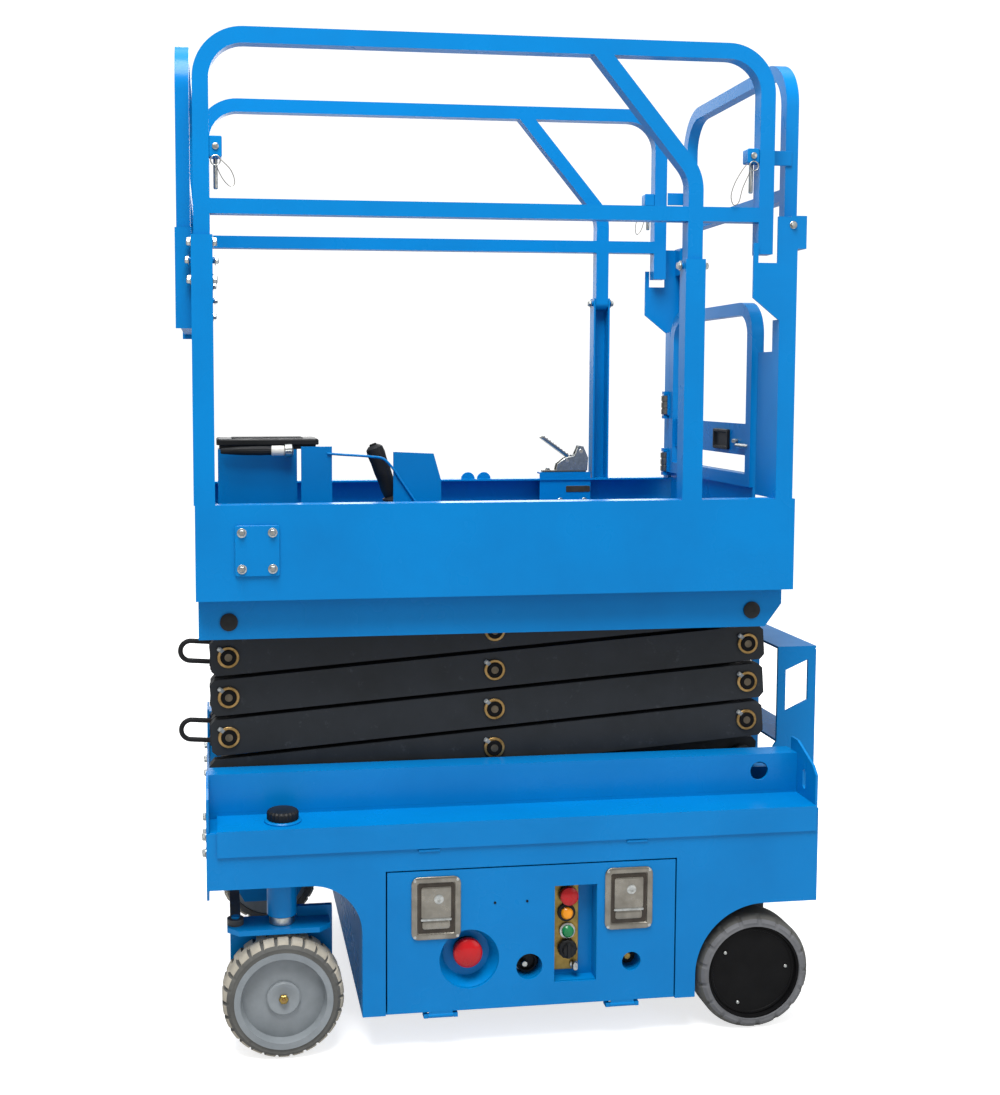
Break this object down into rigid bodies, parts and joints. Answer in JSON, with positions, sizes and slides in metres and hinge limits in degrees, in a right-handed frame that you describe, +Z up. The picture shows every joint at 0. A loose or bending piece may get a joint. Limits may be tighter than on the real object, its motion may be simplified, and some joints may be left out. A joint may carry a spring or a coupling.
{
  "type": "mini scissor lift",
  "caption": "Compact self-propelled scissor lift, stowed, with folding guard rails, entry gate, ladder, steered front wheels and a charcoal scissor stack on a blue chassis.",
  "frame": {"origin": "on the ground under the middle of the machine's length and width", "axes": "+X towards the entry ladder, +Y towards the side away from the ground controls, +Z up"},
  "size_m": [1.359, 0.76, 1.952],
  "materials": {
    "blue_paint": "gloss enamel",
    "charcoal_paint": "satin enamel",
    "pin_bronze": "turned bronze",
    "tyre_rubber": "non-marking moulded rubber",
    "rim_grey": "satin grey",
    "hub_black": "satin black",
    "black_plastic": "moulded, fine grain",
    "red_plastic": "gloss",
    "case_plastic": "moulded",
    "machine_grey": "satin",
    "stainless": "pressed and polished",
    "rod_chrome": "hard chrome",
    "hose_rubber": "matte"
  },
  "bodies": {
    "chassis": {"chassis_pan": "blue_paint", "scissor_bay": "blue_paint", "bay_walls": "blue_paint", "side_panels": "blue_paint", "side_covers": "blue_paint", "end_plates": "blue_paint", "entry_ladder": "blue_paint", "front_beam": "blue_paint", "drive_units": "machine_grey", "battery_pack": "case_plastic", "power_unit": "machine_grey", "control_plate": "blue_paint", "stop_button": "red_plastic", "switch_set": "black_plastic"},
    "door_near": {"door_near": "blue_paint", "latches_near": "stainless"},
    "door_far": {"door_far": "blue_paint", "latches_far": "stainless"},
    "knuckle_near": {"knuckle_near": "blue_paint"},
    "knuckle_far": {"knuckle_far": "blue_paint"},
    "tie_rod": {"tie_rod": "machine_grey"},
    "wheel_front_near": {"tyre_front_near": "tyre_rubber", "rim_front_near": "rim_grey"},
    "wheel_front_far": {"tyre_front_far": "tyre_rubber", "rim_front_far": "rim_grey"},
    "wheel_rear_near": {"tyre_rear_near": "tyre_rubber", "rim_rear_near": "hub_black"},
    "wheel_rear_far": {"tyre_rear_far": "tyre_rubber", "rim_rear_far": "hub_black"},
    "outer_1": {"outer_arms_1": "charcoal_paint", "pins_1": "pin_bronze"},
    "inner_1": {"inner_arms_1": "charcoal_paint", "hose_low": "hose_rubber"},
    "outer_2": {"outer_arms_2": "charcoal_paint", "pins_2": "pin_bronze"},
    "inner_2": {"inner_arms_2": "charcoal_paint"},
    "outer_3": {"outer_arms_3": "charcoal_paint", "pins_3": "pin_bronze"},
    "inner_3": {"inner_arms_3": "charcoal_paint", "hose_high": "hose_rubber"},
    "outer_4": {"outer_arms_4": "charcoal_paint", "pins_4": "pin_bronze"},
    "inner_4": {"inner_arms_4": "charcoal_paint"},
    "barrel": {"lift_barrel": "charcoal_paint"},
    "rod": {"lift_rod": "rod_chrome"},
    "platform": {"deck": "blue_paint", "skirt": "blue_paint", "front_frame": "blue_paint", "guard_posts": "blue_paint", "platform_controls": "black_plastic", "pedal_latch": "stainless"},
    "rail_near": {"rail_near": "blue_paint"},
    "rail_far": {"rail_far": "blue_paint"},
    "rail_front": {"rail_front": "blue_paint"},
    "rail_rear": {"rail_rear": "blue_paint"},
    "gate": {"gate": "blue_paint"}
  },
  "joints": [
    {"name": "lift", "type": "hinge", "parent": "chassis", "child": "outer_1", "pos_m": [-0.5795, 0, 0.5145], "axis": [0, -1, 0], "range_deg": [0, 46]},
    {"name": "cross_1", "type": "hinge", "parent": "outer_1", "child": "inner_1", "pos_m": [-0.042, 0, 0.55475], "axis": [0, -1, 0], "range_deg": [-92, 0]},
    {"name": "elbow_1", "type": "hinge", "parent": "inner_1", "child": "outer_2", "pos_m": [-0.5795, 0, 0.595], "axis": [0, -1, 0], "range_deg": [0, 92]},
    {"name": "cross_2", "type": "hinge", "parent": "outer_2", "child": "inner_2", "pos_m": [-0.042, 0, 0.63525], "axis": [0, -1, 0], "range_deg": [-92, 0]},
    {"name": "elbow_2", "type": "hinge", "parent": "inner_2", "child": "outer_3", "pos_m": [-0.5795, 0, 0.6755], "axis": [0, -1, 0], "range_deg": [0, 92]},
    {"name": "cross_3", "type": "hinge", "parent": "outer_3", "child": "inner_3", "pos_m": [-0.042, 0, 0.71575], "axis": [0, -1, 0], "range_deg": [-92, 0]},
    {"name": "elbow_3", "type": "hinge", "parent": "inner_3", "child": "outer_4", "pos_m": [-0.5795, 0, 0.756], "axis": [0, -1, 0], "range_deg": [0, 92]},
    {"name": "cross_4", "type": "hinge", "parent": "outer_4", "child": "inner_4", "pos_m": [-0.042, 0, 0.79625], "axis": [0, -1, 0], "range_deg": [-92, 0]},
    {"name": "platform_pivot", "type": "hinge", "parent": "inner_4", "child": "platform", "pos_m": [-0.5795, 0, 0.8365], "axis": [0, -1, 0], "range_deg": [0, 46]},
    {"name": "barrel_pivot", "type": "hinge", "parent": "inner_1", "child": "barrel", "pos_m": [-0.472, 0, 0.58695], "axis": [0, -1, 0], "range_deg": [0, 100.62]},
    {"name": "rod_slide", "type": "slide", "parent": "barrel", "child": "rod", "axis": [0.9938, 0, 0.1116], "range_m": [0, 0.27225]},
    {"name": "steer_near", "type": "hinge", "parent": "chassis", "child": "knuckle_near", "pos_m": [-0.4815, -0.312, 0.3], "axis": [0, 0, 1], "range_deg": [-55, 55]},
    {"name": "steer_far", "type": "hinge", "parent": "chassis", "child": "knuckle_far", "pos_m": [-0.4815, 0.312, 0.3], "axis": [0, 0, 1], "range_deg": [-55, 55]},
    {"name": "tie_rod_pivot", "type": "hinge", "parent": "knuckle_near", "child": "tie_rod", "pos_m": [-0.5715, -0.312, 0.256], "axis": [0, 0, 1], "range_deg": [-55, 55]},
    {"name": "wheel_front_near_spin", "type": "hinge", "parent": "knuckle_near", "child": "wheel_front_near", "pos_m": [-0.4815, -0.335, 0.117], "axis": [0, 1, 0], "continuous": true},
    {"name": "wheel_rear_near_spin", "type": "hinge", "parent": "chassis", "child": "wheel_rear_near", "pos_m": [0.4605, -0.335, 0.117], "axis": [0, 1, 0], "continuous": true},
    {"name": "wheel_front_far_spin", "type": "hinge", "parent": "knuckle_far", "child": "wheel_front_far", "pos_m": [-0.4815, 0.335, 0.117], "axis": [0, 1, 0], "continuous": true},
    {"name": "wheel_rear_far_spin", "type": "hinge", "parent": "chassis", "child": "wheel_rear_far", "pos_m": [0.4605, 0.335, 0.117], "axis": [0, 1, 0], "continuous": true},
    {"name": "door_near_hinge", "type": "hinge", "parent": "chassis", "child": "door_near", "pos_m": [0.0045, -0.372, 0.071], "axis": [1, 0, 0], "range_deg": [0, 90]},
    {"name": "door_far_hinge", "type": "hinge", "parent": "chassis", "child": "door_far", "pos_m": [0.0045, 0.372, 0.071], "axis": [-1, 0, 0], "range_deg": [0, 90]},
    {"name": "rail_near_fold", "type": "hinge", "parent": "platform", "child": "rail_near", "pos_m": [-0.0195, -0.315, 1.526], "axis": [-1, 0, 0], "range_deg": [0, 90]},
    {"name": "rail_far_fold", "type": "hinge", "parent": "platform", "child": "rail_far", "pos_m": [-0.0195, 0.315, 1.49], "axis": [1, 0, 0], "range_deg": [0, 90]},
    {"name": "rail_front_fold", "type": "hinge", "parent": "platform", "child": "rail_front", "pos_m": [-0.6565, 0, 1.57], "axis": [0, 1, 0], "range_deg": [0, 90]},
    {"name": "rail_rear_fold", "type": "hinge", "parent": "platform", "child": "rail_rear", "pos_m": [0.5375, 0, 1.606], "axis": [0, -1, 0], "range_deg": [0, 90]},
    {"name": "gate_hinge", "type": "hinge", "parent": "platform", "child": "gate", "pos_m": [0.4905, 0.297, 1.27], "axis": [0, 0, -1], "range_deg": [0, 90]}
  ],
  "couplings": [
    {"joint": "cross_1", "follows": "lift", "ratio": -2},
    {"joint": "elbow_1", "follows": "lift", "ratio": 2},
    {"joint": "cross_2", "follows": "lift", "ratio": -2},
    {"joint": "elbow_2", "follows": "lift", "ratio": 2},
    {"joint": "cross_3", "follows": "lift", "ratio": -2},
    {"joint": "elbow_3", "follows": "lift", "ratio": 2},
    {"joint": "cross_4", "follows": "lift", "ratio": -2},
    {"joint": "platform_pivot", "follows": "lift", "ratio": 1},
    {"joint": "barrel_pivot", "follows": "lift", "ratio": 2.1872},
    {"joint": "rod_slide", "follows": "lift", "m_per_rad": 0.33886},
    {"joint": "steer_far", "follows": "steer_near", "ratio": 1},
    {"joint": "tie_rod_pivot", "follows": "steer_near", "ratio": -1}
  ]
}
